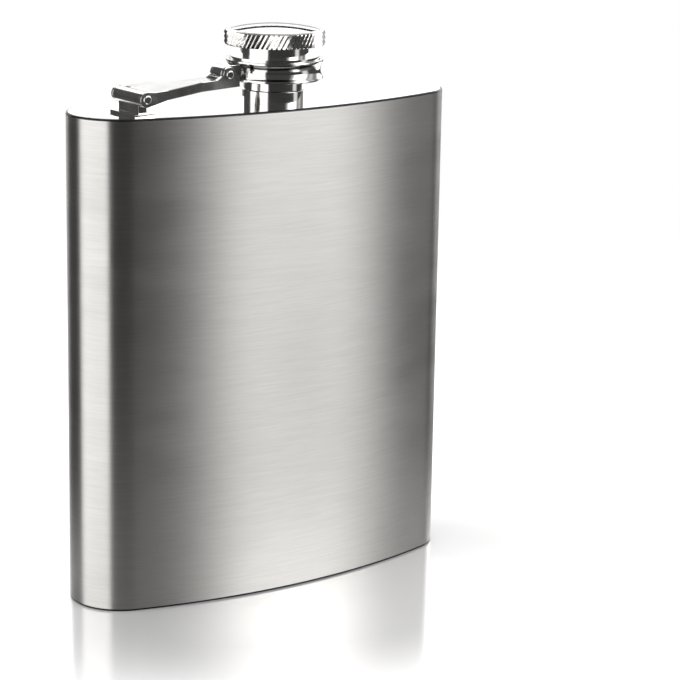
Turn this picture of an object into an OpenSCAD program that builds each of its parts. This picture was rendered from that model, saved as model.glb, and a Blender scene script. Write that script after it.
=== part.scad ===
// Curved hip flask with a hinged, captive screw cap.
// Millimetres. The flask stands on z = 0, centred in plan, with its convex front face towards -Y.
// The cap's arm is hinged on the left of the top plate, towards -X.

/* [Body] */
// Width of the flask across its rounded ends
body_w = 95; // [80:1:115]
// Height of the body with both end plates
body_h = 108; // [85:1:135]
// Thickness of the body from the front face to the rear face
body_t = 23; // [21:0.5:28]
// Radius of the convex front face
front_r = 142; // [115:1:220]
// Thickness of the wrapped side wall
wall_t = 0.7; // [0.5:0.1:1.2]
// Thickness of the top and base plates
plate_t = 0.8; // [0.6:0.1:1.4]

/* [Spout] */
// Diameter of the mouth
mouth_d = 8.3; // [6.5:0.1:10.5]
// Wall between the mouth and the thread's root
spout_wall = 0.5; // [0.4:0.05:0.8]
// Depth of the thread below its crests
thread_depth = 0.35; // [0.2:0.05:0.4]
// Distance from one thread turn to the next
thread_pitch = 1.5; // [1.2:0.1:1.8]
// Number of thread turns
thread_turns = 4; // [3:1:4]
// Plain length between the foot and the first turn
thread_relief = 0.8; // [0.5:0.1:1.2]
// Plain length above the last turn
thread_lead = 0.6; // [0.3:0.1:1]
// Step from the thread's crests out to the smooth foot
foot_step = 2; // [1.5:0.1:3]
// Height of the smooth foot above the top plate
spout_foot_h = 3; // [2.5:0.1:4]
// Width of the weld flange beyond the foot, under the top plate
flange_reach = 1.6; // [1:0.1:2]
// Thickness of the weld flange
flange_t = 1; // [0.6:0.1:1.5]

/* [Cap] */
// Diameter of the knurled head
head_d = 22; // [20:0.5:27]
// Height of the knurled head
head_h = 3.2; // [2.5:0.1:5]
// Chamfer on both edges of the knurled head
head_chamfer = 0.4; // [0.2:0.05:0.6]
// Step from the core out to the waist under the head
waist_step = 1.1; // [0.6:0.1:2]
// Height of the waist
waist_h = 2.4; // [1.8:0.1:4]
// Step from the core out to the shoulder that holds the collar down
shoulder_step = 3.4; // [2:0.1:3.8]
// Height of the shoulder
shoulder_h = 1.05; // [0.7:0.05:2]
// Wall between the cap's threaded hole and the outside of its core
core_wall = 0.8; // [0.7:0.05:1.2]
// Step from the core in to the spigot that carries the retaining ring
spigot_step = 0.25; // [0.1:0.05:0.3]
// Length of the spigot
spigot_l = 1.5; // [1:0.1:1.6]
// Step from the core out to the retaining ring
retainer_lip = 0.4; // [0.3:0.05:0.8]
// Height of the retaining ring
retainer_h = 2.05; // [1.8:0.05:3]
// Width of the rim left around the crown disc
crown_rim = 1.3; // [0.8:0.1:2]
// Depth of the seat that the crown disc drops into
crown_seat = 1; // [0.6:0.1:1.4]
// Rise of the dome above the head's rim
crown_rise = 1.1; // [0.5:0.1:2]
// Width of the gasket beyond the spout's thread
gasket_reach = 0.7; // [0.4:0.1:0.9]
// Thickness of the gasket
gasket_t = 1; // [0.6:0.1:1.3]

/* [Collar] */
// Width of the collar's rim beyond the cap's shoulder
collar_rim = 0.9; // [0.7:0.1:2]
// Height of the collar
collar_h = 4.35; // [4:0.05:6]
// Height of each lip
lip_h = 0.4; // [0.3:0.05:0.8]
// Depth of the hollow between the lips
collar_hollow = 0.55; // [0.2:0.05:0.6]
// Depth of the recess that the cap's shoulder sinks into
collar_recess = 0.5; // [0.3:0.05:1]
// Radius of the tongue's rounded end
tongue_r = 1.85; // [1.4:0.05:1.9]
// Distance from the collar's lip out to the collar pin
collar_pin_out = 2.7; // [2.4:0.1:4]
// Height of the collar pin above the collar's lower face
collar_pin_h = 1.9; // [1.9:0.05:2.4]

/* [Hinge] */
// Distance from the body's left end to the hinge pin
hinge_inset = 11.5; // [9:0.5:15]
// Height of the hinge pin above the top plate
hinge_pin_h = 3.8; // [3.6:0.1:5]
// Width over the arm's two hinge ears
hinge_w = 12; // [10:0.1:14.5]
// Diameter of the bracket's knuckle
knuckle_d = 3.3; // [2.6:0.1:4]
// Thickness of the post under the knuckle
post_t = 2; // [1.2:0.1:2.4]
// Width of the post, measured along the pin
post_w = 8; // [5:0.5:9]
// Length of the bracket's foot across the pin
foot_l = 5; // [4:0.5:7]
// Width of the bracket's foot along the pin
foot_w = 10; // [8:0.5:12]
// Thickness of the bracket's foot
foot_t = 0.6; // [0.4:0.1:1]
// Diameter of the hinge pin
hinge_pin_d = 1.4; // [1:0.1:1.8]
// Diameter of the collar pin
collar_pin_d = 1.3; // [1:0.1:1.8]
// Diameter of the riveted pin heads beyond the pin's own
rivet_extra = 0.5; // [0.3:0.1:1]
// Thickness of the riveted pin heads
rivet_t = 0.25; // [0.1:0.05:0.4]

/* [Arm] */
// Width of the arm's channel strip
strip_w = 5.5; // [4.5:0.1:7]
// Thickness of the strip's side walls, which fork around the collar's tongue
cheek_t = 0.75; // [0.5:0.05:1]
// Height of the channel strip
strip_h = 2.05; // [1.6:0.05:2.3]
// Thickness of the arm's sheet
arm_t = 0.7; // [0.5:0.05:0.8]
// Rise of the collar pin above the line of the strip, which sets the strip's slope
fork_rise = 2.2; // [1.6:0.1:2.5]
// Height of the strip's upper face above the hinge pin
strip_top = 1.4; // [0.9:0.1:1.6]
// Radius of the arm's ears
ear_r = 1.65; // [1.3:0.05:2]
// Length of the wide head beside the hinge
t_head_l = 3.3; // [2:0.1:5]
// Length of the taper from the wide head to the strip
taper_l = 10.5; // [2:0.5:12]

/* [Clearances] */
// Radial clearance of the pins in the parts that turn on them
pin_gap = 0.05; // [0.03:0.01:0.1]
// Radial clearance of the cap's core in the collar
core_gap = 0.08; // [0.04:0.01:0.1]
// Play of the collar above and below
float_gap = 0.1; // [0.05:0.01:0.2]
// Gap between the closed cap and the spout
seat_gap = 0.05; // [0.03:0.01:0.1]
// Side gap between moving cheeks
cheek_gap = 0.1; // [0.05:0.01:0.2]
// Gap around parts that are pressed or welded in place
joint_gap = 0.03; // [0.01:0.01:0.05]
// Clearance beyond the path of the cap as it swings and tilts off the spout
swing_gap = 0.13; // [0.1:0.01:0.2]

/* [Hidden] */
$fn = 96;
// Facets of the dome's large circle
dome_fn = 720;
// Overlap that makes cutting shapes pass right through
cut = 0.5;

// Plan of the body: one arc band with two full-round ends
rear_r = front_r - body_t;
mid_r = front_r - body_t / 2;
end_r = body_t / 2;
end_x = body_w / 2 - end_r;
end_a = asin(end_x / mid_r);
depth = front_r - mid_r * cos(end_a) + end_r;
arc_y = front_r - depth / 2;
axis_y = end_r - depth / 2;
wedge_reach = 1.3 * front_r;

// Heights, from the top plate upwards
spout_foot_top = body_h + spout_foot_h;
thread_z = spout_foot_top + thread_relief;
spout_top = thread_z + thread_turns * thread_pitch + thread_lead;
cap_z = spout_foot_top + seat_gap;
retainer_top = cap_z + retainer_h;
collar_z = retainer_top + float_gap;
collar_top = collar_z + collar_h;
recess_z = collar_top - collar_recess;
shoulder_z = recess_z + float_gap;
waist_z = shoulder_z + shoulder_h;
head_z = waist_z + waist_h;
head_top = head_z + head_h;
crown_z = head_top - crown_seat;
gasket_z = spout_top + seat_gap;
spigot_z = retainer_top - spigot_l;
hinge_z = body_h + hinge_pin_h;
collar_pin_z = collar_z + collar_pin_h;

// Radii of the spout
root_r = mouth_d / 2 + spout_wall;
thread_r = root_r + thread_depth;
spout_foot_r = thread_r + foot_step;
crest_w = thread_pitch / 3;

// Radii of the cap. The cap's hole clears the spout's last crest as the arm swings about the hinge pin.
hinge_reach = body_w / 2 - hinge_inset;
last_crest_z = thread_z + (thread_turns - 0.5) * thread_pitch + crest_w / 2;
swing_rise = last_crest_z - hinge_z;
cap_thread_r = thread_r + swing_rise * swing_rise / (2 * (hinge_reach + thread_r)) + swing_gap;
core_r = cap_thread_r + core_wall;
spigot_r = core_r - spigot_step;
retainer_r = core_r + retainer_lip;
waist_r = core_r + waist_step;
shoulder_r = core_r + shoulder_step;
gasket_r = thread_r + gasket_reach;
recess_r = shoulder_r + 2 * float_gap;
collar_r = shoulder_r + collar_rim;
collar_pin_reach = collar_r + collar_pin_out;
// Radius at which the cap's lower mouth clears the spout as the collar tilts about its pin
function mouth_r(z) = thread_r + swing_gap
    + pow(collar_pin_z - z, 2) / (2 * (collar_pin_reach - thread_r));
// Height at which the mouth's flare meets the threaded hole
flare_z = collar_pin_z - sqrt(2 * (collar_pin_reach - thread_r) * (cap_thread_r - thread_r - swing_gap));

// Dome of the crown disc
crown_r = head_d / 2 - crown_rim;
dome_r = (crown_r * crown_r + crown_rise * crown_rise) / (2 * crown_rise);

// Arm: the strip's slope, and the collar pin's place along and above the strip
pin_run = hinge_reach - collar_pin_reach;
pin_climb = collar_pin_z - hinge_z;
arm_slope = atan2(pin_climb, pin_run) - asin(fork_rise / norm([pin_run, pin_climb]));
collar_u = pin_run * cos(arm_slope) + pin_climb * sin(arm_slope);
knuckle_w = hinge_w - 2 * (arm_t + cheek_gap);
t_head_u = knuckle_d / 2 + 2 * cheek_gap;
taper_u = t_head_u + t_head_l;
strip_u = taper_u + taper_l;
strip_low = strip_top - strip_h;
web_low = strip_top - arm_t;
web_end_u = collar_u - tongue_r - 3 * cheek_gap;
strip_end_u = collar_u + collar_pin_out - 3 * cheek_gap;
tongue_w = strip_w - 2 * cheek_t - 2 * cheek_gap;

// Plan outline of the body, drawn in from its outer face by the inset
module kidney(inset) {
    translate([0, arc_y]) {
        intersection() {
            difference() {
                circle(r = front_r - inset);
                circle(r = rear_r + inset);
            }
            polygon([
                [0, 0],
                [-wedge_reach * sin(end_a), -wedge_reach * cos(end_a)],
                [wedge_reach * sin(end_a), -wedge_reach * cos(end_a)]
            ]);
        }
        for (side = [-1, 1]) {
            rotate(side * end_a)
                translate([0, -mid_r])
                    circle(r = end_r - inset);
        }
    }
}

module on_cap_axis() {
    translate([0, axis_y, 0])
        children();
}

// Carries its children to the hinge pin, with X along the strip and Z square to it
module on_arm() {
    translate([-hinge_reach, axis_y, hinge_z])
        rotate([0, -arm_slope, 0])
            children();
}

// A round bar along Y, centred at the origin
module cross_bar(d, length) {
    rotate([90, 0, 0])
        cylinder(d = d, h = length, center = true);
}

// A plate of its children's profile, drawn in X and Z and centred across Y
module cheek(width) {
    rotate([90, 0, 0])
        linear_extrude(height = width, center = true)
            children();
}

module pin(d, length) {
    cross_bar(d, length);
    for (side = [-1, 1]) {
        translate([0, side * (length + rivet_t) / 2, 0])
            cross_bar(d + rivet_extra, rivet_t);
    }
}

// Rings of thread, from the first turn up, that narrow from the root radius to the crest radius
module thread_rings(root, crest, first) {
    for (turn = [first : thread_turns - 1]) {
        translate([0, 0, thread_z + (turn + 0.5) * thread_pitch])
            rotate_extrude()
                polygon([
                    [root, -crest_w],
                    [crest, -crest_w / 2],
                    [crest, crest_w / 2],
                    [root, crest_w]
                ]);
    }
}

module body_wall() {
    color("silver")
        translate([0, 0, plate_t])
            linear_extrude(height = body_h - 2 * plate_t)
                difference() {
                    kidney(0);
                    kidney(wall_t);
                }
}

module top_plate() {
    color("gainsboro")
        difference() {
            translate([0, 0, body_h - plate_t])
                linear_extrude(height = plate_t)
                    kidney(0);
            on_cap_axis()
                translate([0, 0, body_h - plate_t - cut])
                    cylinder(r = spout_foot_r + joint_gap, h = plate_t + 2 * cut);
        }
}

module base_plate() {
    color("gainsboro")
        linear_extrude(height = plate_t)
            kidney(0);
}

module spout() {
    flange_z = body_h - plate_t - flange_t;
    color("gainsboro")
        on_cap_axis()
            difference() {
                union() {
                    translate([0, 0, flange_z])
                        cylinder(r = spout_foot_r + flange_reach, h = flange_t);
                    translate([0, 0, flange_z])
                        cylinder(r = spout_foot_r, h = spout_foot_top - flange_z);
                    translate([0, 0, flange_z])
                        cylinder(r = root_r, h = spout_top - flange_z);
                    thread_rings(root_r - spout_wall / 2, thread_r, 0);
                }
                translate([0, 0, flange_z - cut])
                    cylinder(d = mouth_d, h = spout_top - flange_z + 2 * cut);
            }
}

module hinge_bracket() {
    color("gainsboro")
        translate([-hinge_reach, axis_y, 0])
            difference() {
                union() {
                    translate([-foot_l / 2, -foot_w / 2, body_h])
                        cube([foot_l, foot_w, foot_t]);
                    translate([-post_t / 2, -post_w / 2, body_h])
                        cube([post_t, post_w, hinge_pin_h]);
                    translate([0, 0, hinge_z])
                        cross_bar(knuckle_d, knuckle_w);
                }
                translate([0, 0, hinge_z])
                    cross_bar(hinge_pin_d + 2 * pin_gap, knuckle_w + 2 * cut);
            }
}

module hinge_pin() {
    color("silver")
        on_arm()
            pin(hinge_pin_d, hinge_w);
}

module swing_arm() {
    color("gainsboro")
        on_arm()
            difference() {
                union() {
                    // Web: wide head, taper and narrow strip
                    translate([0, 0, web_low])
                        linear_extrude(height = arm_t)
                            polygon([
                                [t_head_u, -hinge_w / 2],
                                [taper_u, -hinge_w / 2],
                                [strip_u, -strip_w / 2],
                                [web_end_u, -strip_w / 2],
                                [web_end_u, strip_w / 2],
                                [strip_u, strip_w / 2],
                                [taper_u, hinge_w / 2],
                                [t_head_u, hinge_w / 2]
                            ]);
                    // Ears that turn on the hinge pin
                    for (side = [-1, 1]) {
                        translate([0, side * (hinge_w - arm_t) / 2, 0])
                            cheek(arm_t) {
                                circle(r = ear_r);
                                polygon([
                                    [0, -ear_r],
                                    [taper_u, strip_low],
                                    [taper_u, strip_top],
                                    [t_head_u, strip_top],
                                    [0, ear_r]
                                ]);
                            }
                    }
                    // Side walls of the taper, which carry the ears' sides into the strip's
                    for (side = [-1, 1]) {
                        translate([0, 0, strip_low])
                            linear_extrude(height = strip_h)
                                polygon([
                                    [taper_u, side * hinge_w / 2],
                                    [strip_u, side * strip_w / 2],
                                    [strip_u, side * (strip_w / 2 - cheek_t)],
                                    [taper_u, side * (hinge_w / 2 - arm_t)]
                                ]);
                    }
                    // Side walls of the strip, which rise into the fork at the collar pin
                    for (side = [-1, 1]) {
                        translate([0, side * (strip_w - cheek_t) / 2, 0])
                            cheek(cheek_t) {
                                translate([collar_u, fork_rise])
                                    circle(r = ear_r);
                                polygon([
                                    [strip_u, strip_low],
                                    [strip_end_u, strip_low],
                                    [strip_end_u, strip_top],
                                    [collar_u + ear_r, fork_rise],
                                    [collar_u - ear_r, fork_rise],
                                    [collar_u - 2 * ear_r, strip_top],
                                    [strip_u, strip_top]
                                ]);
                            }
                    }
                }
                cross_bar(hinge_pin_d, hinge_w + 2 * cut);
                translate([collar_u, 0, fork_rise])
                    cross_bar(collar_pin_d, strip_w + 2 * cut);
            }
}

module collar_pin() {
    color("silver")
        on_arm()
            translate([collar_u, 0, fork_rise])
                pin(collar_pin_d, strip_w);
}

module cap_collar() {
    hollow_h = collar_h - 2 * lip_h;
    // Radius of the round hollow, from its depth and its height
    hollow_r = (hollow_h * hollow_h / 4 + collar_hollow * collar_hollow) / (2 * collar_hollow);
    color("gainsboro")
        on_cap_axis()
            difference() {
                union() {
                    translate([0, 0, collar_z])
                        rotate_extrude()
                            difference() {
                                square([collar_r, collar_h]);
                                translate([collar_r - collar_hollow + hollow_r, collar_h / 2])
                                    circle(r = hollow_r);
                            }
                    translate([-collar_pin_reach, 0, collar_pin_z])
                        cheek(tongue_w) {
                            circle(r = tongue_r);
                            translate([0, -tongue_r])
                                square([collar_pin_reach - recess_r + collar_hollow, 2 * tongue_r]);
                        }
                }
                translate([0, 0, recess_z])
                    cylinder(r = recess_r, h = collar_recess + cut);
                translate([0, 0, collar_z - cut])
                    cylinder(r = core_r + core_gap, h = collar_h + 2 * cut);
                translate([-collar_pin_reach, 0, collar_pin_z])
                    cross_bar(collar_pin_d + 2 * pin_gap, tongue_w + 2 * cut);
            }
}

module cap_head() {
    color("gainsboro")
        on_cap_axis()
            difference() {
                rotate_extrude()
                    polygon([
                        [0, spigot_z],
                        [spigot_r, spigot_z],
                        [spigot_r, retainer_top],
                        [core_r, retainer_top],
                        [core_r, shoulder_z],
                        [shoulder_r, shoulder_z],
                        [shoulder_r, waist_z],
                        [waist_r, waist_z],
                        [waist_r, head_z],
                        [head_d / 2 - head_chamfer, head_z],
                        [head_d / 2, head_z + head_chamfer],
                        [head_d / 2, head_top - head_chamfer],
                        [head_d / 2 - head_chamfer, head_top],
                        [0, head_top]
                    ]);
                // Seat of the crown disc
                translate([0, 0, crown_z])
                    cylinder(r = crown_r + joint_gap, h = crown_seat + cut);
                // Threaded hole and the gasket's seat above it
                translate([0, 0, spigot_z - cut])
                    cylinder(r = cap_thread_r, h = gasket_z - spigot_z + cut);
                translate([0, 0, gasket_z])
                    cylinder(r = gasket_r + joint_gap, h = gasket_t);
                thread_rings(cap_thread_r - cut / 2, cap_thread_r + thread_depth, 1);
                // Flare at the mouth
                rotate_extrude()
                    polygon([
                        [0, spigot_z - cut],
                        [mouth_r(spigot_z), spigot_z - cut],
                        [mouth_r(spigot_z), spigot_z],
                        [cap_thread_r, flare_z],
                        [0, flare_z]
                    ]);
            }
}

module crown_disc() {
    color("whitesmoke")
        on_cap_axis()
            rotate_extrude()
                intersection() {
                    translate([0, head_top + crown_rise - dome_r])
                        circle(r = dome_r, $fn = dome_fn);
                    translate([0, crown_z])
                        square([crown_r, crown_seat + crown_rise]);
                }
}

module retaining_ring() {
    color("silver")
        on_cap_axis()
            difference() {
                translate([0, 0, cap_z])
                    cylinder(r = retainer_r, h = retainer_h);
                translate([0, 0, cap_z - cut])
                    cylinder(r = mouth_r(cap_z), h = spigot_z - cap_z + cut);
                translate([0, 0, spigot_z])
                    cylinder(r = spigot_r, h = retainer_h);
            }
}

module cap_gasket() {
    color("dimgray")
        on_cap_axis()
            translate([0, 0, gasket_z])
                cylinder(r = gasket_r, h = gasket_t);
}

body_wall();
top_plate();
base_plate();
spout();
hinge_bracket();
hinge_pin();
swing_arm();
collar_pin();
cap_collar();
cap_head();
crown_disc();
retaining_ring();
cap_gasket();
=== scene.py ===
from math import asin, cos, degrees, pi, radians, sin, sqrt

import bmesh
import bpy
from mathutils import Matrix, Vector


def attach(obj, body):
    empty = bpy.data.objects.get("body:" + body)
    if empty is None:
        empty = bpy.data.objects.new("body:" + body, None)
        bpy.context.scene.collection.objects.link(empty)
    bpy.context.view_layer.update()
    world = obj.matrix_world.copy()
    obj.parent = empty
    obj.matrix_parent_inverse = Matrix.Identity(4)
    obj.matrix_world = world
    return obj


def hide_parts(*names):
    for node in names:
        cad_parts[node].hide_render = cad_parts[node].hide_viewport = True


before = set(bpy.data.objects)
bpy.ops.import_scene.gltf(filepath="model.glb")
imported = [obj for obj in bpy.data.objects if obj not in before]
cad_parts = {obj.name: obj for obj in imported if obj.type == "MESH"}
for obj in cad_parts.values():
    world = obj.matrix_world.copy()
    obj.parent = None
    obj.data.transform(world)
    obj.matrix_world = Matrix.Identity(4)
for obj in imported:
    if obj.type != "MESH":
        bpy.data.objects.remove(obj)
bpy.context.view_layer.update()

# A curved hip flask of brushed stainless steel, with a polished top plate, spout and hinged screw cap.
# Blender's lengths are metres. MM turns a maker's millimetres into them.
MM = 0.001

# ---------------------------------------------------------------- the body's plan, in millimetres

BODY_WIDTH = 95.0
BODY_HEIGHT = 108.0
BODY_THICKNESS = 23.0
FRONT_RADIUS = 142.0
WALL_THICKNESS = 0.7
PLATE_THICKNESS = 0.8
# The plates' outer rims are ground round after welding
RIM_ROUNDING = 0.45

MIDDLE_RADIUS = FRONT_RADIUS - BODY_THICKNESS / 2
END_RADIUS = BODY_THICKNESS / 2
END_X = BODY_WIDTH / 2 - END_RADIUS
END_ANGLE = asin(END_X / MIDDLE_RADIUS)
BODY_DEPTH = FRONT_RADIUS - MIDDLE_RADIUS * cos(END_ANGLE) + END_RADIUS
ARC_Y = FRONT_RADIUS - BODY_DEPTH / 2
END_Y = ARC_Y - MIDDLE_RADIUS * cos(END_ANGLE)
FRONT_Y = -BODY_DEPTH / 2

# ---------------------------------------------------------------- the spout and the cap, in millimetres

AXIS = (0, FRONT_Y + BODY_THICKNESS / 2, 0)
PLATE_TOP = BODY_HEIGHT
MOUTH_RADIUS = 4.15
SPOUT_FOOT_RADIUS = 7.0
SPOUT_ROOT_RADIUS = 4.65
THREAD_RADIUS = 5.0
THREAD_PITCH = 1.5
SPOUT_FOOT_TOP = PLATE_TOP + 3.0
SPOUT_TOP = PLATE_TOP + 10.4
# Middles of the first and last turns of the spout's thread
FIRST_TURN = PLATE_TOP + 4.55
LAST_TURN = PLATE_TOP + 9.05
SPOUT_BOTTOM = PLATE_TOP - 1.8
SPOUT_FLANGE_RADIUS = 8.6
# The hole in the top plate that the spout's foot is welded into
SPOUT_HOLE_RADIUS = 7.03

RETAINER_RADIUS = 6.7
RETAINER_BORE_RADIUS = 6.12
RETAINER_LOW = PLATE_TOP + 3.05
RETAINER_TOP = PLATE_TOP + 5.1
SPIGOT_LOW = PLATE_TOP + 3.6
SPIGOT_RADIUS = 6.05
CORE_RADIUS = 6.3
COLLAR_LOW = PLATE_TOP + 5.2
COLLAR_TOP = PLATE_TOP + 9.55
COLLAR_RADIUS = 10.6
COLLAR_BORE_RADIUS = 6.38
COLLAR_LIP = 0.4
COLLAR_HOLLOW = 0.55
COLLAR_RECESS = 0.5
COLLAR_RECESS_RADIUS = 9.9
SHOULDER_LOW = PLATE_TOP + 9.15
SHOULDER_TOP = PLATE_TOP + 10.2
SHOULDER_RADIUS = 9.7
WAIST_RADIUS = 7.4
HEAD_LOW = PLATE_TOP + 12.6
HEAD_TOP = PLATE_TOP + 15.8
HEAD_RADIUS = 11.0
CROWN_RADIUS = 9.7
CROWN_SEAT = PLATE_TOP + 14.8
CROWN_TOP = PLATE_TOP + 16.9
CROWN_FIT = 0.03
CAP_HOLE_RADIUS = 5.5
CAP_THREAD_DEPTH = 0.35
GASKET_LOW = PLATE_TOP + 10.45
GASKET_TOP = PLATE_TOP + 11.45
GASKET_RADIUS = 5.7
GASKET_SEAT_RADIUS = 5.73

# The knurl on the cap's head: slanting ridges, with shallower notches across their crests
KNURL_RIDGES = 64
KNURL_RINGS = 6
KNURL_DEPTH = 0.38
KNURL_NOTCH = 0.2
# How much metal the knurled sleeve has behind its grooves
KNURL_BACKING = 0.5
# How far a ridge slants over one ring, as a share of the ridges' spacing. The minus leans it like a slash.
KNURL_LEAN = -0.25

# ---------------------------------------------------------------- the hinge and the arm, in millimetres

HINGE_PIN = (-36.0, AXIS[1], PLATE_TOP + 3.8)
HINGE_PIN_RADIUS = 0.7
HINGE_PIN_LENGTH = 12.0
COLLAR_PIN = (-13.3, AXIS[1], PLATE_TOP + 7.1)
COLLAR_PIN_RADIUS = 0.65
COLLAR_PIN_LENGTH = 5.5
# How far a riveted head stands out round its pin, and past the pin's end
RIVET_LIP = 0.25
RIVET_HEIGHT = 0.25
LUG_RADIUS = 1.85
LUG_WIDTH = 3.8
LUG_LENGTH = 4.6

# Two points closer than this, in millimetres, are one point
SAME_PLACE = 0.002
# A level or a radius is met within this distance, in millimetres
NEAR = 0.01


# ---------------------------------------------------------------- modelling helpers

def new_start():
    """Nothing is selected when a piece is begun."""
    if bpy.context.mode != "OBJECT":
        bpy.ops.object.mode_set(mode="OBJECT")
    bpy.ops.object.select_all(action="DESELECT")


def make_active(piece):
    """The piece alone is selected and active."""
    new_start()
    piece.select_set(True)
    bpy.context.view_layer.objects.active = piece


def begin_edit(name):
    """The primitive that was just added takes its name and goes into edit mode, all selected."""
    piece = bpy.context.active_object
    piece.name = name
    piece.data.name = name
    bpy.ops.object.mode_set(mode="EDIT")
    bpy.ops.mesh.select_all(action="SELECT")
    return piece


def select(piece, kind, wanted):
    """Selects the vertices, edges or faces whose middle, in millimetres, passes the test."""
    bpy.ops.mesh.select_mode(type=kind)
    bpy.ops.mesh.select_all(action="DESELECT")
    mesh = bmesh.from_edit_mesh(piece.data)
    for part in {"VERT": mesh.verts, "EDGE": mesh.edges, "FACE": mesh.faces}[kind]:
        corners = [part] if kind == "VERT" else list(part.verts)
        middle = sum((corner.co for corner in corners), Vector()) / len(corners)
        if wanted((piece.matrix_world @ middle) / MM, part):
            part.select_set(True)
    bmesh.update_edit_mesh(piece.data)


def end_edit(piece):
    """Doubles are merged, the faces are turned outwards and the place goes into the mesh."""
    bpy.ops.mesh.select_mode(type="VERT")
    bpy.ops.mesh.select_all(action="SELECT")
    bpy.ops.mesh.remove_doubles(threshold=SAME_PLACE * MM)
    bpy.ops.mesh.normals_make_consistent(inside=False)
    bpy.ops.object.mode_set(mode="OBJECT")
    bpy.ops.object.transform_apply(location=True, rotation=True, scale=True)
    return piece


def round_edges(piece, width, segments=2, angle=35):
    """Small rounded edges, as a tumbled or buffed part has."""
    make_active(piece)
    bpy.ops.object.modifier_add(type="BEVEL")
    bevel = piece.modifiers[-1]
    bevel.width = width * MM
    bevel.segments = segments
    bevel.limit_method = "ANGLE"
    bevel.angle_limit = radians(angle)
    bpy.ops.object.modifier_apply(modifier=bevel.name)


def smooth(piece, angle=40):
    """Smooth shading with the large flats kept flat."""
    make_active(piece)
    bpy.ops.object.shade_smooth_by_angle(angle=radians(angle))
    bpy.ops.object.modifier_add(type="WEIGHTED_NORMAL")
    weights = piece.modifiers[-1]
    weights.mode = "FACE_AREA"
    weights.keep_sharp = True
    bpy.ops.object.modifier_apply(modifier=weights.name)


def join(first, *others):
    """The other pieces become part of the first."""
    make_active(first)
    for other in others:
        other.select_set(True)
    bpy.ops.object.join()
    return first


def turn(name, profile, centre, columns=120, closed=True, along="Z"):
    """A turned piece: a ring at the profile's first (radius, height) is drawn out ring by ring."""
    rings = list(profile) + ([profile[0]] if closed else [])
    upright = along == "Z"
    x, y, z = centre

    def place(height):
        return Vector((x, y, z + height) if upright else (x, y + height, z)) * MM

    new_start()
    radius, height = rings[0]
    bpy.ops.mesh.primitive_circle_add(
        vertices=columns, radius=radius * MM, fill_type="NOTHING" if closed else "NGON",
        location=place(height), rotation=(0, 0, 0) if upright else (pi / 2, 0, 0))
    piece = begin_edit(name)
    bpy.ops.mesh.select_mode(type="EDGE")
    for next_radius, next_height in rings[1:]:
        bpy.ops.mesh.extrude_edges_move(
            TRANSFORM_OT_translate={"value": place(next_height) - place(height)})
        grow = next_radius / radius
        bpy.ops.transform.resize(
            value=(grow, grow, 1) if upright else (grow, 1, grow), center_override=place(next_height))
        radius, height = next_radius, next_height
    if not closed:
        bpy.ops.mesh.edge_face_add()
    return end_edit(piece)


def arc_points(centre, radius, start, end, steps):
    """Points along a round, as (radius, height), with the angles in degrees from straight out."""
    angles = [radians(start + (end - start) * step / steps) for step in range(steps + 1)]
    return [(centre[0] + radius * cos(angle), centre[1] + radius * sin(angle)) for angle in angles]


def spin_round_body(half_steps=30, end_steps=48):
    """Carries the selected section, at the middle of the front, right round the body's plan."""
    arc = Vector((0, ARC_Y, 0)) * MM
    right = Vector((END_X, END_Y, 0)) * MM
    left = Vector((-END_X, END_Y, 0)) * MM
    for centre, angle, steps in (
            (arc, END_ANGLE, half_steps),
            (right, pi, end_steps),
            (arc, -2 * END_ANGLE, 2 * half_steps),
            (left, pi, end_steps),
            (arc, END_ANGLE, half_steps)):
        bpy.ops.mesh.spin(steps=steps, angle=angle, center=centre, axis=(0, 0, -1))


def front_section(name, depth, low, high):
    """An upright rectangle at the middle of the front, running back by depth, in edit mode."""
    new_start()
    middle = Vector((0, FRONT_Y + depth / 2, (low + high) / 2)) * MM
    bpy.ops.mesh.primitive_plane_add(size=MM, location=middle, rotation=(0, pi / 2, 0))
    piece = begin_edit(name)
    bpy.ops.transform.resize(value=(1, depth, high - low), center_override=middle)
    return piece


def copy_cad(node, name):
    """A copy of a CAD node with its own mesh, whose loose triangles are merged into whole faces."""
    new_start()
    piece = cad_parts[node].copy()
    piece.data = piece.data.copy()
    piece.parent = None
    for key in list(piece.keys()):
        del piece[key]
    bpy.context.scene.collection.objects.link(piece)
    piece.name = name
    piece.data.name = name
    piece.data.materials.clear()
    make_active(piece)
    bpy.ops.mesh.customdata_custom_splitnormals_clear()
    bpy.ops.object.mode_set(mode="EDIT")
    bpy.ops.mesh.select_all(action="SELECT")
    bpy.ops.mesh.remove_doubles(threshold=0.001 * MM)
    bpy.ops.mesh.dissolve_limited(angle_limit=radians(1))
    bpy.ops.object.mode_set(mode="OBJECT")
    return piece


# ---------------------------------------------------------------- materials

def linear(hex_colour):
    """An sRGB hex colour as the linear colour that a shader takes."""
    channels = [int(hex_colour[i:i + 2], 16) / 255 for i in (1, 3, 5)]
    return tuple(c / 12.92 if c <= 0.04045 else ((c + 0.055) / 1.055) ** 2.4 for c in channels) + (1.0,)


def add_node(tree, kind, settings=None, **inputs):
    """Adds a node with its settings. An input is a value, or the output socket that feeds it.

    An input is given by its name, or as i0, i1 and so on by its place where several share a name.
    """
    node = tree.nodes.new(kind)
    for setting, value in (settings or {}).items():
        setattr(node, setting, value)
    for name, value in inputs.items():
        by_place = name[0] == "i" and name[1:].isdigit()
        socket = node.inputs[int(name[1:]) if by_place else name.replace("_", " ")]
        if isinstance(value, bpy.types.NodeSocket):
            tree.links.new(value, socket)
        else:
            socket.default_value = value
    return node


def per(size):
    """The scale of a pattern whose cells have this size in millimetres."""
    return 1 / (size * MM)


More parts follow.
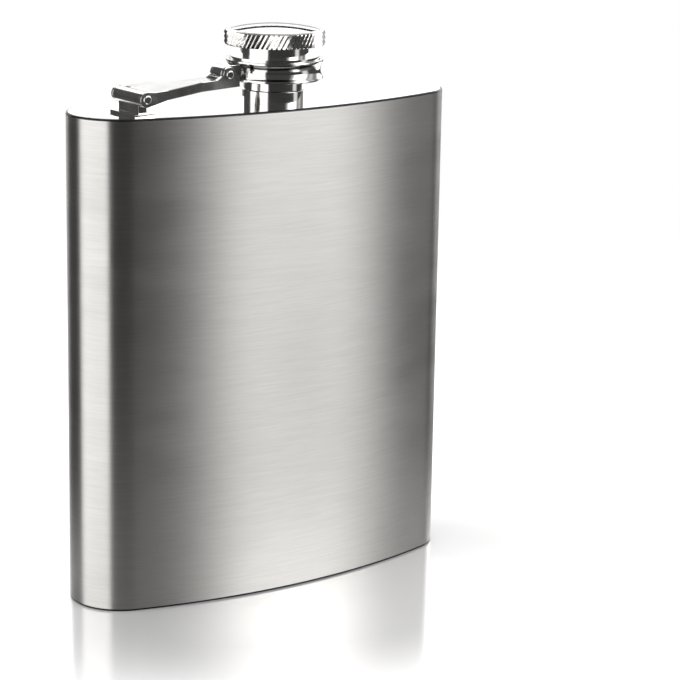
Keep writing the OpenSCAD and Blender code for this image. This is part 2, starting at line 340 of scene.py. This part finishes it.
def new_material(name):
    """An empty material, with its node tree and its output."""
    material = bpy.data.materials.new(name)
    material.use_nodes = True
    tree = material.node_tree
    tree.nodes.clear()
    output = add_node(tree, "ShaderNodeOutputMaterial")
    return material, tree, output


def make_brushed_stainless():
    """304 stainless sheet, belt-brushed round the body: level streaks that blur reflections up and down."""
    material, tree, output = new_material("brushed_stainless")
    place = add_node(tree, "ShaderNodeTexCoord").outputs["Object"]
    # Streaks 9 mm long and 0.3 mm high. Real grit lines are finer, but would not show.
    streak_place = add_node(
        tree, "ShaderNodeMapping", Vector=place, Scale=(per(9.09), per(9.09), per(0.303)))
    streaks = add_node(
        tree, "ShaderNodeTexNoise", Vector=streak_place.outputs[0], Scale=1.0, Detail=3.0, Roughness=0.6)
    # Broad, faint unevenness of the brushing, 25 mm long and 6 mm high
    pass_place = add_node(tree, "ShaderNodeMapping", Vector=place, Scale=(per(25), per(25), per(6.25)))
    passes = add_node(tree, "ShaderNodeTexNoise", Vector=pass_place.outputs[0], Scale=1.0, Detail=2.0)
    # Speckle of the belt's grit
    grit = add_node(tree, "ShaderNodeTexNoise", Vector=place, Scale=per(0.357), Detail=2.0)
    tone = add_node(
        tree, "ShaderNodeMapRange", Value=streaks.outputs[0],
        From_Min=0.25, From_Max=0.75, To_Min=0.0, To_Max=1.0)
    colour = add_node(
        tree, "ShaderNodeMix", {"data_type": "RGBA"},
        i0=tone.outputs[0], i6=linear("#C6C4C1"), i7=linear("#D2D0CD"))
    rough = add_node(
        tree, "ShaderNodeMapRange", Value=passes.outputs[0],
        From_Min=0.3, From_Max=0.7, To_Min=0.33, To_Max=0.39)
    height = add_node(
        tree, "ShaderNodeMath", {"operation": "MULTIPLY_ADD"},
        i0=grit.outputs[0], i1=0.35, i2=streaks.outputs[0])
    bump = add_node(tree, "ShaderNodeBump", Height=height.outputs[0], Strength=0.35, Distance=0.02 * MM)
    grain = add_node(tree, "ShaderNodeCombineXYZ", X=0.0, Y=0.0, Z=1.0)
    steel = add_node(
        tree, "ShaderNodeBsdfPrincipled", Base_Color=colour.outputs[2], Metallic=1.0,
        Roughness=rough.outputs[0], Anisotropic=0.9, Normal=bump.outputs[0], Tangent=grain.outputs[0])
    tree.links.new(steel.outputs[0], output.inputs[0])
    return material


def make_polished_stainless(name, colour_low, colour_high, roughness, bump_strength):
    """Stainless steel, turned or pressed and then buffed: a mirror with faint buffing haze."""
    material, tree, output = new_material(name)
    place = add_node(tree, "ShaderNodeTexCoord").outputs["Object"]
    # Buffing haze in patches of 4 mm
    haze = add_node(tree, "ShaderNodeTexNoise", Vector=place, Scale=per(4), Detail=3.0)
    # Buffing lines and fine pits
    buff = add_node(tree, "ShaderNodeTexNoise", Vector=place, Scale=per(0.4), Detail=2.0)
    colour = add_node(
        tree, "ShaderNodeMix", {"data_type": "RGBA"},
        i0=haze.outputs[0], i6=linear(colour_low), i7=linear(colour_high))
    rough = add_node(
        tree, "ShaderNodeMapRange", Value=haze.outputs[0],
        From_Min=0.3, From_Max=0.7, To_Min=roughness * 0.7, To_Max=roughness * 1.3)
    bump = add_node(
        tree, "ShaderNodeBump", Height=buff.outputs[0], Strength=bump_strength, Distance=0.01 * MM)
    steel = add_node(
        tree, "ShaderNodeBsdfPrincipled", Base_Color=colour.outputs[2], Metallic=1.0,
        Roughness=rough.outputs[0], Normal=bump.outputs[0])
    tree.links.new(steel.outputs[0], output.inputs[0])
    return material


def make_moulded_silicone():
    """Moulded silicone rubber: soft grey, slightly waxy, with a fine mould texture."""
    material, tree, output = new_material("moulded_silicone")
    place = add_node(tree, "ShaderNodeTexCoord").outputs["Object"]
    # Mould texture with a grain of 0.2 mm
    grain = add_node(tree, "ShaderNodeTexNoise", Vector=place, Scale=per(0.2), Detail=2.0)
    cloud = add_node(tree, "ShaderNodeTexNoise", Vector=place, Scale=per(1.67), Detail=2.0)
    colour = add_node(
        tree, "ShaderNodeMix", {"data_type": "RGBA"},
        i0=cloud.outputs[0], i6=linear("#C9C9C4"), i7=linear("#D8D8D3"))
    bump = add_node(tree, "ShaderNodeBump", Height=grain.outputs[0], Strength=0.3, Distance=0.03 * MM)
    rubber = add_node(
        tree, "ShaderNodeBsdfPrincipled", Base_Color=colour.outputs[2], Metallic=0.0, Roughness=0.55,
        IOR=1.41, Subsurface_Weight=0.15, Subsurface_Radius=(MM, MM, MM), Normal=bump.outputs[0])
    tree.links.new(rubber.outputs[0], output.inputs[0])
    return material


brushed_stainless = make_brushed_stainless()
polished_plate_steel = make_polished_stainless("polished_stainless_plate", "#E4E3E1", "#EBEAE8", 0.07, 0.05)
turned_steel = make_polished_stainless("polished_turned_stainless", "#DEDDDB", "#E8E7E5", 0.1, 0.08)
pressed_steel = make_polished_stainless("polished_pressed_stainless", "#DAD9D7", "#E6E5E3", 0.14, 0.12)
knurled_steel = make_polished_stainless("polished_knurled_stainless", "#DEDDDB", "#E8E7E5", 0.13, 0.08)
# Each plate's ground rim rounding is coloured dark and dull: painted shade for the dark line that runs along
# the rim
painted_shade_rim_steel = make_polished_stainless("rim_painted_shade", "#3A3A3B", "#4A4A4A", 0.4, 0.2)
silicone = make_moulded_silicone()


def finish(piece, body, slot, material, *stands_for):
    """Gives the piece its material and its body, and hides the CAD nodes that it stands for. The slot is not
    used.
    """
    if not piece.data.materials:
        piece.data.materials.append(material)
    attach(piece, body)
    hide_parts(*stands_for)


# ---------------------------------------------------------------- body

def make_wall():
    """The wrapped side wall, open at both ends."""
    wall = front_section(
        "body_wall_brushed", WALL_THICKNESS, PLATE_THICKNESS, BODY_HEIGHT - PLATE_THICKNESS)
    bpy.ops.mesh.delete(type="ONLY_FACE")
    bpy.ops.mesh.select_all(action="SELECT")
    spin_round_body()
    end_edit(wall)
    smooth(wall)
    finish(wall, "root", "brushed_wall", brushed_stainless, "body_wall")


def make_plate(name, node, low, high, rim, spout_hole=None):
    """An end plate welded flush with the wall, with its outer rim, at the height rim, ground round."""
    # The section spun round the plan is a strip of this width. Flat faces fill what is left inside it.
    inset = 3.0
    plate = front_section(name, inset, low, high)
    select(plate, "VERT", lambda at, part: at.y < FRONT_Y + NEAR and abs(at.z - rim) < NEAR)
    bpy.ops.mesh.bevel(offset=RIM_ROUNDING * MM, segments=5, affect="VERTICES")
    select(plate, "EDGE", lambda at, part: at.y > FRONT_Y + inset - NEAR)
    bpy.ops.mesh.delete(type="EDGE")
    bpy.ops.mesh.select_all(action="SELECT")
    spin_round_body()
    bpy.ops.mesh.select_mode(type="VERT")
    bpy.ops.mesh.select_all(action="SELECT")
    bpy.ops.mesh.remove_doubles(threshold=SAME_PLACE * MM)
    if spout_hole:
        bpy.ops.mesh.primitive_circle_add(
            vertices=120, radius=spout_hole * MM, location=Vector((AXIS[0], AXIS[1], low)) * MM)
        bpy.ops.mesh.select_mode(type="EDGE")
        bpy.ops.mesh.extrude_edges_move(TRANSFORM_OT_translate={"value": (0, 0, (high - low) * MM)})
    for level in (low, high):
        select(plate, "EDGE", lambda at, part: part.is_boundary and abs(at.z - level) < NEAR)
        bpy.ops.mesh.fill()
    end_edit(plate)
    smooth(plate)
    for material in (polished_plate_steel, brushed_stainless, painted_shade_rim_steel):
        plate.data.materials.append(material)
    for face in plate.data.polygons:
        flatness = abs(face.normal.z)
        if flatness < 0.99 and (face.center / MM - Vector(AXIS)).xy.length > SPOUT_FOOT_RADIUS + 1:
            # The straight edge is brushed with the wall, and the ground rounding of the weld takes the dark
            # rim steel, which is painted shade
            face.material_index = 1 if flatness < 0.05 else 2
    finish(plate, "root", "polished_plate", polished_plate_steel, node)


make_wall()
make_plate(
    "top_plate_mirror", "top_plate", BODY_HEIGHT - PLATE_THICKNESS, BODY_HEIGHT, BODY_HEIGHT,
    SPOUT_HOLE_RADIUS)
make_plate("base_plate_mirror", "base_plate", 0, PLATE_THICKNESS, 0)


# ---------------------------------------------------------------- spout

def make_thread(name, root, crest, first, last):
    """A ridge with sloping flanks, wound up from the first turn to the last."""
    new_start()
    middle = Vector(((root + crest) / 2, 0, 0)) * MM
    bpy.ops.mesh.primitive_plane_add(size=MM, location=middle, rotation=(pi / 2, 0, 0))
    thread = begin_edit(name)
    foot_height = THREAD_PITCH * 2 / 3
    crest_share = 0.4
    bpy.ops.transform.resize(value=(abs(crest - root), 1, foot_height), center_override=middle)
    outward = 1 if crest > root else -1
    select(thread, "EDGE", lambda at, part: outward * (at.x - crest) > -NEAR)
    bpy.ops.transform.resize(value=(1, 1, crest_share), center_override=Vector((crest, 0, 0)) * MM)
    bpy.ops.mesh.select_all(action="SELECT")
    bpy.ops.mesh.delete(type="ONLY_FACE")
    bpy.ops.object.mode_set(mode="OBJECT")
    bpy.ops.object.transform_apply(location=True, rotation=True, scale=True)
    bpy.ops.object.modifier_add(type="SCREW")
    winding = thread.modifiers[-1]
    winding.axis = "Z"
    winding.steps = 72
    winding.render_steps = 72
    winding.iterations = round((last - first) / THREAD_PITCH)
    winding.screw_offset = THREAD_PITCH * MM
    winding.use_merge_vertices = False
    bpy.ops.object.modifier_apply(modifier=winding.name)
    bpy.ops.object.mode_set(mode="EDIT")
    bpy.ops.mesh.select_all(action="SELECT")
    bpy.ops.transform.translate(value=Vector((AXIS[0], AXIS[1], first)) * MM)
    select(thread, "EDGE", lambda at, part: part.is_boundary)
    bpy.ops.mesh.fill()
    return end_edit(thread)


def make_spout():
    """The turned spout: weld flange, smooth foot and threaded neck with the mouth's bore through it."""
    flange_top = PLATE_TOP - PLATE_THICKNESS
    spout = turn("spout_threaded", [
        (MOUTH_RADIUS, SPOUT_BOTTOM), (SPOUT_FLANGE_RADIUS, SPOUT_BOTTOM),
        (SPOUT_FLANGE_RADIUS, flange_top), (SPOUT_FOOT_RADIUS, flange_top),
        (SPOUT_FOOT_RADIUS, SPOUT_FOOT_TOP), (SPOUT_ROOT_RADIUS, SPOUT_FOOT_TOP),
        (SPOUT_ROOT_RADIUS, SPOUT_TOP), (MOUTH_RADIUS, SPOUT_TOP)], AXIS)
    round_edges(spout, 0.18, 3)
    # The ridge is rooted a little inside the neck
    rooted = SPOUT_ROOT_RADIUS - 0.1
    thread = make_thread("spout_thread", rooted, THREAD_RADIUS, FIRST_TURN, LAST_TURN)
    join(spout, thread)
    smooth(spout)
    finish(spout, "root", "polished_spout", turned_steel, "spout")


make_spout()


# ---------------------------------------------------------------- hinge and arm

def make_bracket():
    """The hinge bracket: a foot on the top plate, a post and the knuckle on it."""
    bracket = copy_cad("hinge_bracket", "hinge_bracket_buffed")
    round_edges(bracket, 0.14, 2)
    smooth(bracket)
    finish(bracket, "root", "polished_hinge", pressed_steel, "hinge_bracket")


def make_arm():
    """The swing arm, pressed from one sheet into a channel, with ears and a fork."""
    arm = copy_cad("swing_arm", "swing_arm_pressed")
    round_edges(arm, 0.12, 2)
    # A small angle keeps the folds of the sheet crisp
    smooth(arm, 12)
    finish(arm, "arm", "polished_hinge", pressed_steel, "swing_arm")


def make_pin(name, node, centre, radius, length):
    """A rivet pin with a low domed head at each end."""
    half = length / 2
    head = radius + RIVET_LIP
    # The head's dome, as shares of its radius and its height, from the pin outwards
    dome = [(1, 0), (0.92, 0.7), (0.7, 1)]
    back = [(head * out, half + RIVET_HEIGHT * up) for out, up in dome]
    front = [(out, -reach) for out, reach in reversed(back)]
    shape = front + [(radius, -half), (radius, half)] + back
    pin = turn(name, shape, centre, columns=48, closed=False, along="Y")
    smooth(pin)
    finish(pin, "arm", "polished_hinge", turned_steel, node)


make_bracket()
make_arm()
make_pin("hinge_rivet", "hinge_pin", HINGE_PIN, HINGE_PIN_RADIUS, HINGE_PIN_LENGTH)
make_pin("collar_rivet", "collar_pin", COLLAR_PIN, COLLAR_PIN_RADIUS, COLLAR_PIN_LENGTH)


# ---------------------------------------------------------------- collar

def make_collar():
    """The turned collar that the cap spins in, with a hollow waist and the lug that the fork holds."""
    middle = (COLLAR_LOW + COLLAR_TOP) / 2
    half = (COLLAR_TOP - COLLAR_LOW) / 2 - COLLAR_LIP
    hollow_radius = (half * half + COLLAR_HOLLOW * COLLAR_HOLLOW) / (2 * COLLAR_HOLLOW)
    spread = degrees(asin(half / hollow_radius))
    hollow_centre = (COLLAR_RADIUS - COLLAR_HOLLOW + hollow_radius, middle)
    recess_low = COLLAR_TOP - COLLAR_RECESS
    shape = [(COLLAR_BORE_RADIUS, COLLAR_LOW), (COLLAR_RADIUS, COLLAR_LOW)]
    shape += arc_points(hollow_centre, hollow_radius, 180 + spread, 180 - spread, 12)
    shape += [(COLLAR_RADIUS, COLLAR_TOP), (COLLAR_RECESS_RADIUS, COLLAR_TOP),
              (COLLAR_RECESS_RADIUS, recess_low), (COLLAR_BORE_RADIUS, recess_low)]
    collar = turn("collar_turned", shape, AXIS)
    round_edges(collar, 0.1, 2)

    # The lug is a short bar round the pin, whose inner half is drawn into the collar
    new_start()
    bpy.ops.mesh.primitive_cylinder_add(
        vertices=48, radius=LUG_RADIUS * MM, depth=LUG_WIDTH * MM,
        location=Vector(COLLAR_PIN) * MM, rotation=(pi / 2, 0, 0))
    lug = begin_edit("collar_lug")
    select(lug, "VERT", lambda at, part: at.x > COLLAR_PIN[0] + NEAR)
    bpy.ops.transform.translate(value=(LUG_LENGTH * MM, 0, 0))
    end_edit(lug)
    round_edges(lug, 0.12, 2)
    join(collar, lug)
    smooth(collar)
    finish(collar, "collar", "polished_collar", turned_steel, "cap_collar")


make_collar()


# ---------------------------------------------------------------- cap

def make_knurl(name, low, high):
    """A sleeve of slanting ridges, with shallow notches across every second ring of their crests."""
    groove = HEAD_RADIUS - KNURL_DEPTH
    notched = HEAD_RADIUS - KNURL_NOTCH
    inside = groove - KNURL_BACKING
    axis = Vector(AXIS) * MM
    step = (high - low) / KNURL_RINGS
    slant = KNURL_LEAN * 2 * pi / KNURL_RIDGES

    def to_radius(radius):
        share = radius / HEAD_RADIUS
        bpy.ops.transform.resize(value=(share, share, 1), center_override=axis)

    new_start()
    bpy.ops.mesh.primitive_circle_add(
        vertices=2 * KNURL_RIDGES, radius=HEAD_RADIUS * MM, fill_type="NOTHING",
        location=axis + Vector((0, 0, low * MM)))
    sleeve = begin_edit(name)
    select(sleeve, "VERT", lambda at, part: part.index % 2)
    to_radius(groove)
    bpy.ops.mesh.select_all(action="SELECT")
    bpy.ops.mesh.select_mode(type="EDGE")
    for ring in range(KNURL_RINGS):
        bpy.ops.mesh.extrude_edges_move(TRANSFORM_OT_translate={"value": (0, 0, step * MM)})
        bpy.ops.transform.rotate(value=slant, orient_axis="Z", center_override=axis)
    for ring in range(0, KNURL_RINGS + 1, 2):
        select(sleeve, "VERT", lambda at, part: abs(at.z - low - ring * step) < NEAR
               and (at - Vector(AXIS)).xy.length > notched)
        to_radius(notched)
    for level in (low, high):
        select(sleeve, "EDGE", lambda at, part: part.is_boundary and abs(at.z - level) < NEAR)
        bpy.ops.mesh.extrude_edges_move(TRANSFORM_OT_translate={"value": (0, 0, 0)})
        to_radius(inside)
    select(sleeve, "EDGE", lambda at, part: part.is_boundary)
    bpy.ops.mesh.bridge_edge_loops()
    return end_edit(sleeve)


def make_cap():
    """The turned screw cap: spigot, core, shoulder, waist and knurled head, with the crown's seat on top."""
    # The head's body under the knurled sleeve. Its chamfers show above and below the sleeve's ends.
    head_body = HEAD_RADIUS - KNURL_DEPTH - 0.05
    chamfer = 0.3
    chamfer_low = HEAD_LOW + 0.2
    chamfer_high = HEAD_TOP - 0.25
    knurl_low = HEAD_LOW + 0.08
    knurl_high = HEAD_TOP - 0.12
    # The hole is relieved behind the thread, between these two levels
    hole_low = SPIGOT_LOW + 1.2
    hole_high = GASKET_LOW - 0.2
    relief = CAP_HOLE_RADIUS + CAP_THREAD_DEPTH
    slope = 0.3
    # The hole widens to this radius at the cap's lower end, which guides it on to the spout
    lead_in = CAP_HOLE_RADIUS + 0.37
    seat_wall = CROWN_RADIUS + CROWN_FIT
    # A small flat closes the middle of the seat and of the gasket's ceiling
    centre = 0.5
    cap = turn("screw_cap_knurled", [
        (lead_in, SPIGOT_LOW), (SPIGOT_RADIUS, SPIGOT_LOW), (SPIGOT_RADIUS, RETAINER_TOP),
        (CORE_RADIUS, RETAINER_TOP), (CORE_RADIUS, SHOULDER_LOW), (SHOULDER_RADIUS, SHOULDER_LOW),
        (SHOULDER_RADIUS, SHOULDER_TOP), (WAIST_RADIUS, SHOULDER_TOP), (WAIST_RADIUS, HEAD_LOW),
        (head_body - chamfer, HEAD_LOW), (head_body, chamfer_low), (head_body, chamfer_high),
        (head_body - chamfer, HEAD_TOP),
        (seat_wall, HEAD_TOP), (seat_wall, CROWN_SEAT), (centre, CROWN_SEAT), (centre, GASKET_TOP),
        (GASKET_SEAT_RADIUS, GASKET_TOP), (GASKET_SEAT_RADIUS, GASKET_LOW), (CAP_HOLE_RADIUS, GASKET_LOW),
        (CAP_HOLE_RADIUS, hole_high), (relief, hole_high - slope), (relief, hole_low + slope),
        (CAP_HOLE_RADIUS, hole_low)], AXIS)
    knurl = make_knurl("cap_knurl", knurl_low, knurl_high)
    # The inner ridge is rooted a little behind the relief, and its turns lie between the spout's
    rooted = relief + 0.1
    thread = make_thread("cap_thread", rooted, CAP_HOLE_RADIUS, FIRST_TURN + 1.2, LAST_TURN + 0.3)
    join(cap, thread, knurl)
    smooth(cap, 28)
    finish(cap, "cap", "knurled_cap", knurled_steel, "cap_head")


def make_crown():
    """The domed disc pressed into the top of the head."""
    rise = CROWN_TOP - HEAD_TOP
    dome_radius = (CROWN_RADIUS ** 2 + rise ** 2) / (2 * rise)
    # The disc's edge sits a little below the head's rim
    shape = [(CROWN_RADIUS, CROWN_SEAT), (CROWN_RADIUS, HEAD_TOP - 0.12)]
    # Rings of the dome, as shares of its radius, closer together where it turns down at the edge
    for share in (0.985, 0.95, 0.88, 0.78, 0.66, 0.54, 0.42, 0.3, 0.2, 0.1, 0.03):
        radius = CROWN_RADIUS * share
        shape.append((radius, CROWN_TOP - dome_radius + sqrt(dome_radius ** 2 - radius ** 2)))
    crown = turn("crown_domed", shape, AXIS, columns=144, closed=False)
    smooth(crown)
    finish(crown, "cap", "polished_crown", polished_plate_steel, "crown_disc")


def make_retainer():
    """The ring pressed on the spigot, which keeps the collar on the cap."""
    ring = turn("retaining_ring_pressed", [
        (RETAINER_BORE_RADIUS, RETAINER_LOW), (RETAINER_RADIUS, RETAINER_LOW),
        (RETAINER_RADIUS, RETAINER_TOP), (SPIGOT_RADIUS, RETAINER_TOP), (SPIGOT_RADIUS, SPIGOT_LOW),
        (RETAINER_BORE_RADIUS, SPIGOT_LOW)], AXIS)
    round_edges(ring, 0.12, 2)
    smooth(ring)
    finish(ring, "cap", "knurled_cap", turned_steel, "retaining_ring")


def make_gasket():
    """The sealing disc in the top of the cap's hole, with a shallow dish inside its rim."""
    dish_low = GASKET_LOW + 0.15
    rim_inside = GASKET_RADIUS - 0.8
    dish_radius = rim_inside - 0.3
    centre = 0.6
    gasket = turn("cap_gasket_moulded", [
        (GASKET_RADIUS, GASKET_TOP), (GASKET_RADIUS, GASKET_LOW), (rim_inside, GASKET_LOW),
        (dish_radius, dish_low), (centre, dish_low)], AXIS, closed=False)
    round_edges(gasket, 0.1, 2)
    smooth(gasket)
    finish(gasket, "cap", "gasket_silicone", silicone, "cap_gasket")


make_cap()
make_crown()
make_retainer()
make_gasket()


# ---------------------------------------------------------------- camera

CAMERA_PLACE = (-0.3100, -0.4531, 0.1917)
CAMERA_BEARING = -36.13
CAMERA_DOWN = 14.08
CAMERA_ROLL = 0.98
CAMERA_LENS = 133.6


def make_camera():
    """A long lens from the flask's front left, looking a little down. Angles are in degrees."""
    camera = bpy.data.objects.new("camera", bpy.data.cameras.new("camera"))
    bpy.context.scene.collection.objects.link(camera)
    camera.data.sensor_width = 36
    camera.data.lens = CAMERA_LENS
    camera.matrix_world = (
        Matrix.Translation(CAMERA_PLACE) @ Matrix.Rotation(radians(CAMERA_BEARING), 4, "Z")
        @ Matrix.Rotation(radians(90 - CAMERA_DOWN), 4, "X") @ Matrix.Rotation(radians(CAMERA_ROLL), 4, "Z"))
    bpy.context.scene.camera = camera


make_camera()

# ---------------------------------------------------------------- floor

bpy.context.scene.view_settings.view_transform = "Standard"

TABLE_SIZE = 8
# Half extents of the soft patches on the table, in metres
LACQUER_PATCH = (0.1, 0.065)
CARD_PATCH = (0.13, 0.11)
TABLE_PATCH = (0.6, 0.6)
# The lacquered patch lies in front of the flask, by this share of its half depth
LACQUER_FORWARD = 0.35


def make_floor():
    """A plain pale tabletop with a clear gloss that is strongest close to the flask."""
    new_start()
    bpy.ops.mesh.primitive_plane_add(size=TABLE_SIZE, location=(0, 0, 0))
    floor = bpy.context.active_object
    floor.name = "floor"
    material, tree, output = new_material("gloss_white_table")
    place = add_node(tree, "ShaderNodeTexCoord").outputs["Object"]

    def patch(extent, edge, middle, forward=0.0, fade_from=0.0, fade_to=0.6):
        """A soft oval, which fades from the value edge, outside it, to the value middle."""
        spread = add_node(
            tree, "ShaderNodeMapping", Vector=place, Location=(0, forward, 0),
            Scale=(1 / extent[0], 1 / extent[1], 1))
        oval = add_node(
            tree, "ShaderNodeTexGradient", {"gradient_type": "SPHERICAL"}, Vector=spread.outputs[0])
        fade = add_node(
            tree, "ShaderNodeMapRange", {"interpolation_type": "SMOOTHSTEP"}, Value=oval.outputs[1],
            From_Min=fade_from, From_Max=fade_to, To_Min=edge, To_Max=middle)
        return fade.outputs[0]

    gloss = patch(LACQUER_PATCH, 0.0, 0.6, forward=LACQUER_FORWARD)
    # Further out the table melts into a lit white sweep
    far = patch(TABLE_PATCH, 1.0, 0.0, fade_from=0.25, fade_to=0.75)
    matt = add_node(tree, "ShaderNodeBsdfDiffuse", Color=linear("#F8F8F8"))
    sweep = add_node(tree, "ShaderNodeEmission", Color=linear("#FFFFFF"), Strength=1.0)
    paint = add_node(tree, "ShaderNodeMixShader", i0=far, i1=matt.outputs[0], i2=sweep.outputs[0])
    lacquer = add_node(tree, "ShaderNodeBsdfGlossy", Color=linear("#FFFFFF"), Roughness=0.12)
    both = add_node(tree, "ShaderNodeMixShader", i0=gloss, i1=paint.outputs[0], i2=lacquer.outputs[0])
    # Only the part near the flask lights the steel from below, as a small sheet of white card does
    beyond = patch(CARD_PATCH, 1.0, 0.6)
    ray = add_node(tree, "ShaderNodeLightPath")
    unseen = add_node(
        tree, "ShaderNodeMath", {"operation": "MULTIPLY"}, i0=ray.outputs["Is Glossy Ray"], i1=beyond)
    clear = add_node(tree, "ShaderNodeBsdfTransparent")
    table = add_node(
        tree, "ShaderNodeMixShader", i0=unseen.outputs[0], i1=both.outputs[0], i2=clear.outputs[0])
    tree.links.new(table.outputs[0], output.inputs[0])
    floor.data.materials.append(material)


make_floor()

# ---------------------------------------------------------------- studio light


STUDIO_STRENGTH = 4.0
SOFTBOX_SIZE = 2.4
SOFTBOX_HEIGHT = 1.6
SOFTBOX_WATTS = 38


def grey_ramp(tree, factor, stops, low, high):
    """A ramp of greys. Each stop is a place between low and high, and a brightness."""
    node = add_node(tree, "ShaderNodeValToRGB", Fac=factor)
    ramp = node.color_ramp
    ramp.interpolation = "LINEAR"
    while len(ramp.elements) < len(stops):
        ramp.elements.new(1.0)
    for element, (place, brightness) in zip(ramp.elements, stops):
        element.position = (place - low) / (high - low)
        element.color = (brightness, brightness, brightness, 1)
    return node.outputs[0]


def make_surroundings():
    """Soft light all round: a tall softbox on the left, a white wall behind and dark flats in front."""
    world = bpy.data.worlds.new("studio")
    bpy.context.scene.world = world
    world.use_nodes = True
    tree = world.node_tree
    tree.nodes.clear()
    direction = add_node(tree, "ShaderNodeTexCoord").outputs["Generated"]
    parts = add_node(tree, "ShaderNodeSeparateXYZ", Vector=direction)
    facing = add_node(tree, "ShaderNodeMath", {"operation": "MULTIPLY"}, i0=parts.outputs[1], i1=-1.0)
    # Bearing of the direction, in degrees from straight in front of the flask, positive to its right
    bearing = add_node(
        tree, "ShaderNodeMath", {"operation": "ARCTAN2"}, i0=parts.outputs[0], i1=facing.outputs[0])
    turn_share = add_node(tree, "ShaderNodeMapRange", Value=bearing.outputs[0], From_Min=-pi, From_Max=pi)
    # Level of the direction: 1 is straight up, 0 is level and -1 is straight down
    level = add_node(tree, "ShaderNodeMapRange", Value=parts.outputs[2], From_Min=-1.0, From_Max=1.0)

    def by_bearing(stops):
        return grey_ramp(tree, turn_share.outputs[0], stops, -180, 180)

    def by_level(stops):
        return grey_ramp(tree, level.outputs[0], stops, -1, 1)

    def blend(factor, first, second, how="MIX"):
        node = add_node(
            tree, "ShaderNodeMix", {"data_type": "RGBA", "blend_type": how}, i0=factor, i6=first, i7=second)
        return node.outputs[2]

    # What upright polished faces mirror, a little below eye level
    eye_ring = by_bearing([
        (-180, 0.015), (-129, 0.015), (-124, 0.44), (-59, 0.44), (-56, 0.01), (30, 0.01), (38, 0.015),
        (42, 0.2), (52, 0.23), (57, 0.13), (60, 0.015), (125, 0.015), (140, 0.15), (180, 0.08)])
    # The softboxes above that, with a white wall behind
    high_ring = by_bearing([
        (-180, 0.49), (-177, 0.49), (-171, 0.02), (-132, 0.02), (-125, 0.44), (-59, 0.44), (-56, 0.015),
        (5, 0.015), (12, 0.12), (15, 0.18), (17.5, 0.43), (20.5, 0.61), (27, 0.75), (31, 0.93), (35, 1.0),
        (41, 1.0), (46, 0.78), (51, 0.43), (56, 0.13), (61, 0.09), (66, 0.17), (72, 0.17), (80, 0.06),
        (90, 0.08), (100, 0.45), (115, 0.75), (130, 0.49), (180, 0.49)])
    # The bright part of the tabletop, below
    low_ring = by_bearing([
        (-180, 0.015), (-130, 0.015), (-122, 0.44), (-57, 0.44), (-53, 0.015), (5, 0.015), (12, 0.11),
        (15, 0.18), (17.5, 0.43), (20.5, 0.61), (27, 0.7), (34, 0.3), (38, 0.05), (61, 0.04), (80, 0.02),
        (180, 0.015)])
    above = by_level([(-1, 0.0), (-0.03, 0.0), (0.04, 1.0), (1, 1.0)])
    below = by_level([(-1, 1.0), (-0.4, 1.0), (-0.33, 0.0), (1, 0.0)])
    ring = blend(below, blend(above, eye_ring, high_ring), low_ring)
    # The light thins out towards the ceiling and the floor
    poles = by_level([
        (-1, 0.02), (-0.66, 0.02), (-0.5, 1.0), (0.56, 1.0), (0.62, 0.03), (0.72, 0.03), (0.82, 0.3),
        (1, 0.35)])
    lit = blend(1.0, ring, poles, "MULTIPLY")
    # A grey curtain behind with a black rail over it, which draw the crown's dome
    behind = by_bearing([(-180, 0.0), (132, 0.0), (136, 1.0), (154, 1.0), (158, 0.0), (180, 0.0)])
    curtain = by_level([
        (-1, 1.0), (-0.16, 1.0), (-0.12, 0.42), (0, 0.38), (0.12, 0.33), (0.135, 1.0), (0.165, 1.0),
        (0.172, 0.2), (0.188, 0.2), (0.194, 1.0), (0.218, 1.0), (0.23, 0.01), (0.32, 0.01), (0.335, 1.0),
        (1, 1.0)])
    room = blend(behind, lit, curtain, "MULTIPLY")
    # The eye sees a plain white backdrop in place of all that
    seen = add_node(tree, "ShaderNodeLightPath").outputs["Is Camera Ray"]
    surroundings = add_node(tree, "ShaderNodeBackground", Color=room, Strength=STUDIO_STRENGTH)
    backdrop = add_node(tree, "ShaderNodeBackground", Color=(1, 1, 1, 1), Strength=1.0)
    view = add_node(
        tree, "ShaderNodeMixShader", i0=seen, i1=surroundings.outputs[0], i2=backdrop.outputs[0])
    output = add_node(tree, "ShaderNodeOutputWorld")
    tree.links.new(view.outputs[0], output.inputs[0])


def make_overhead_softbox():
    """A large soft light overhead, which lights the table and isn't mirrored in the steel."""
    light = bpy.data.lights.new("overhead_softbox", "AREA")
    light.shape = "RECTANGLE"
    light.size = SOFTBOX_SIZE
    light.size_y = SOFTBOX_SIZE
    light.energy = SOFTBOX_WATTS
    softbox = bpy.data.objects.new("overhead_softbox", light)
    softbox.location = (0, 0, SOFTBOX_HEIGHT)
    softbox.visible_glossy = False
    bpy.context.scene.collection.objects.link(softbox)


make_surroundings()
make_overhead_softbox()


def corners(box):
    """A box's two corners as plain lists of numbers."""
    return [[round(value, 6) for value in corner] for corner in box]
